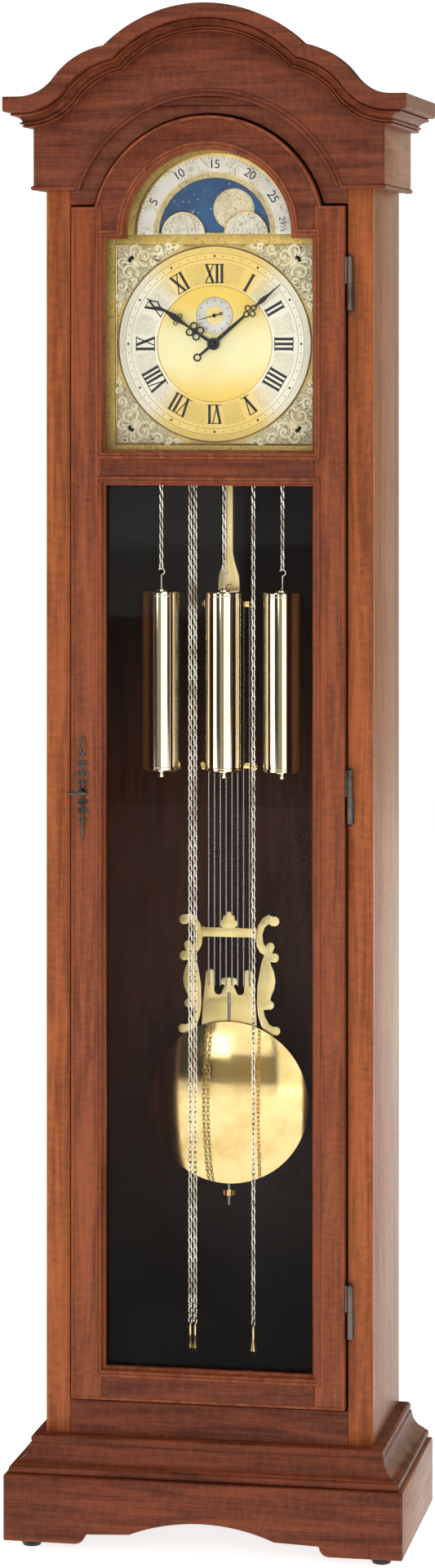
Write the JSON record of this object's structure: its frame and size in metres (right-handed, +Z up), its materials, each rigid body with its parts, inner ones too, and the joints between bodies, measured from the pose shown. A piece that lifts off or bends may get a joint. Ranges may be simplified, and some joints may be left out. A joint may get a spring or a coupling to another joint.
{
  "type": "grandfather clock",
  "caption": "Longcase floor clock with arched hood, glazed door, moon dial, chain-driven weights and lyre pendulum.",
  "frame": {"origin": "on the floor, at the middle of the case's width and depth", "axes": "+Z up, +X to the right as one faces the clock, the dial looks along -Y"},
  "size_m": [0.557, 0.306, 2.1081],
  "materials": {
    "case_wood": "satin lacquered cherry stained red-brown",
    "inner_wood": "dark stained, dull",
    "polished_brass": "polished and lacquered",
    "chain_brass": "antiqued",
    "dial_brass": "satin gilt with silvered ornament",
    "moon_blue": "painted night sky",
    "hand_black": "satin black",
    "pewter": "dark pewter finish",
    "glide_black": "moulded black",
    "window_glass": "clear float glass"
  },
  "bodies": {
    "case": {"plinth_front": "case_wood", "plinth_left": "case_wood", "plinth_right": "case_wood", "base_moulding": "case_wood", "side_panel_left": "case_wood", "side_panel_right": "case_wood", "frame_stile_left": "case_wood", "frame_stile_right": "case_wood", "frame_bottom_rail": "case_wood", "frame_top_rail": "case_wood", "hood_front": "case_wood", "hood_side_left": "case_wood", "hood_side_right": "case_wood", "crown_front": "case_wood", "back_panel": "inner_wood", "floor_panel": "inner_wood", "roof_panel": "inner_wood", "seat_board": "inner_wood", "hinge_case_low": "pewter", "hinge_case_middle": "pewter", "hinge_case_high": "pewter", "movement_frame": "polished_brass", "dial_plate": "dial_brass", "chain_left": "chain_brass", "chain_middle": "chain_brass", "chain_right": "chain_brass"},
    "door": {"door_stile_left": "case_wood", "door_stile_right": "case_wood", "door_top_rail": "case_wood", "door_middle_rail": "case_wood", "door_bottom_rail": "case_wood", "dial_glass": "window_glass", "pendulum_glass": "window_glass", "escutcheon": "pewter", "hinge_door_low": "pewter", "hinge_door_middle": "pewter", "hinge_door_high": "pewter"},
    "key": {"key": "pewter", "lock_tongue": "pewter"},
    "hour_hand": {"hour_hand": "hand_black"},
    "minute_hand": {"minute_hand": "hand_black"},
    "seconds_hand": {"seconds_hand": "hand_black"},
    "moon_disc": {"moon_disc": "moon_blue"},
    "anchor": {"anchor": "polished_brass"},
    "pendulum": {"pendulum_rod": "polished_brass", "pendulum_bob": "polished_brass"},
    "rating_nut": {"rating_nut": "polished_brass"},
    "weight_left": {"weight_left": "polished_brass"},
    "great_wheel_left": {"great_wheel_left": "polished_brass"},
    "chain_end_left": {"chain_end_left": "polished_brass"},
    "weight_middle": {"weight_middle": "polished_brass"},
    "great_wheel_middle": {"great_wheel_middle": "polished_brass"},
    "chain_end_middle": {"chain_end_middle": "polished_brass"},
    "weight_right": {"weight_right": "polished_brass"},
    "great_wheel_right": {"great_wheel_right": "polished_brass"},
    "chain_end_right": {"chain_end_right": "polished_brass"},
    "glide_front_left": {"glide_front_left": "glide_black"},
    "glide_front_right": {"glide_front_right": "glide_black"},
    "glide_back_left": {"glide_back_left": "glide_black"},
    "glide_back_right": {"glide_back_right": "glide_black"}
  },
  "joints": [
    {"name": "door_swing", "type": "hinge", "parent": "case", "child": "door", "pos_m": [0.196, -0.1033, 0], "axis": [0, 0, 1], "range_deg": [0, 110]},
    {"name": "key_turn", "type": "hinge", "parent": "door", "child": "key", "pos_m": [-0.173, -0.108, 1.032], "axis": [0, 1, 0], "range_deg": [-90, 0]},
    {"name": "minute_turn", "type": "hinge", "parent": "case", "child": "minute_hand", "pos_m": [0, -0.052, 1.6446], "axis": [0, 1, 0], "continuous": true},
    {"name": "hour_turn", "type": "hinge", "parent": "case", "child": "hour_hand", "pos_m": [0, -0.052, 1.6446], "axis": [0, 1, 0], "continuous": true},
    {"name": "seconds_turn", "type": "hinge", "parent": "case", "child": "seconds_hand", "pos_m": [0, -0.052, 1.6836], "axis": [0, 1, 0], "continuous": true},
    {"name": "moon_turn", "type": "hinge", "parent": "case", "child": "moon_disc", "pos_m": [0, -0.052, 1.7954], "axis": [0, 1, 0], "continuous": true},
    {"name": "pendulum_swing", "type": "hinge", "parent": "case", "child": "pendulum", "pos_m": [0, 0.058, 1.655], "axis": [0, 1, 0], "range_deg": [-2.5, 2.5]},
    {"name": "anchor_rock", "type": "hinge", "parent": "case", "child": "anchor", "pos_m": [0, 0.058, 1.655], "axis": [0, 1, 0], "range_deg": [-2.5, 2.5]},
    {"name": "nut_turn", "type": "hinge", "parent": "pendulum", "child": "rating_nut", "pos_m": [0, 0.059, 0.455], "axis": [0, 0, 1], "continuous": true},
    {"name": "weight_run_left", "type": "slide", "parent": "case", "child": "weight_left", "axis": [0, 0, -1], "range_m": [-0.08, 0.8], "deforming": ["chain_left"]},
    {"name": "wheel_turn_left", "type": "hinge", "parent": "case", "child": "great_wheel_left", "pos_m": [-0.0655, 0.005, 1.575], "axis": [0, 1, 0], "range_deg": [-2236.9, 224.6]},
    {"name": "end_run_left", "type": "slide", "parent": "case", "child": "chain_end_left", "axis": [0, 0, 1], "range_m": [-0.08, 0.8]},
    {"name": "weight_run_middle", "type": "slide", "parent": "case", "child": "weight_middle", "axis": [0, 0, -1], "range_m": [-0.08, 0.8], "deforming": ["chain_middle"]},
    {"name": "wheel_turn_middle", "type": "hinge", "parent": "case", "child": "great_wheel_middle", "pos_m": [-0.0175, 0.005, 1.575], "axis": [0, 1, 0], "range_deg": [-224.6, 2236.9]},
    {"name": "end_run_middle", "type": "slide", "parent": "case", "child": "chain_end_middle", "axis": [0, 0, 1], "range_m": [-0.08, 0.8]},
    {"name": "weight_run_right", "type": "slide", "parent": "case", "child": "weight_right", "axis": [0, 0, -1], "range_m": [-0.08, 0.8], "deforming": ["chain_right"]},
    {"name": "wheel_turn_right", "type": "hinge", "parent": "case", "child": "great_wheel_right", "pos_m": [0.0645, 0.005, 1.575], "axis": [0, 1, 0], "range_deg": [-224.6, 2236.9]},
    {"name": "end_run_right", "type": "slide", "parent": "case", "child": "chain_end_right", "axis": [0, 0, 1], "range_m": [-0.08, 0.8]},
    {"name": "glide_front_left_screw", "type": "slide", "parent": "case", "child": "glide_front_left", "axis": [0, 0, 1], "range_m": [-0.012, 0]},
    {"name": "glide_front_right_screw", "type": "slide", "parent": "case", "child": "glide_front_right", "axis": [0, 0, 1], "range_m": [-0.012, 0]},
    {"name": "glide_back_left_screw", "type": "slide", "parent": "case", "child": "glide_back_left", "axis": [0, 0, 1], "range_m": [-0.012, 0]},
    {"name": "glide_back_right_screw", "type": "slide", "parent": "case", "child": "glide_back_right", "axis": [0, 0, 1], "range_m": [-0.012, 0]}
  ],
  "couplings": [
    {"joint": "hour_turn", "follows": "minute_turn", "ratio": 0.083333},
    {"joint": "moon_turn", "follows": "minute_turn", "ratio": 0.00070621},
    {"joint": "anchor_rock", "follows": "pendulum_swing", "ratio": 1},
    {"joint": "wheel_turn_left", "follows": "weight_run_left", "rad_per_m": -48.781},
    {"joint": "end_run_left", "follows": "weight_run_left", "ratio": 1},
    {"joint": "wheel_turn_middle", "follows": "weight_run_middle", "rad_per_m": 48.781},
    {"joint": "end_run_middle", "follows": "weight_run_middle", "ratio": 1},
    {"joint": "wheel_turn_right", "follows": "weight_run_right", "rad_per_m": 48.781},
    {"joint": "end_run_right", "follows": "weight_run_right", "ratio": 1}
  ]
}
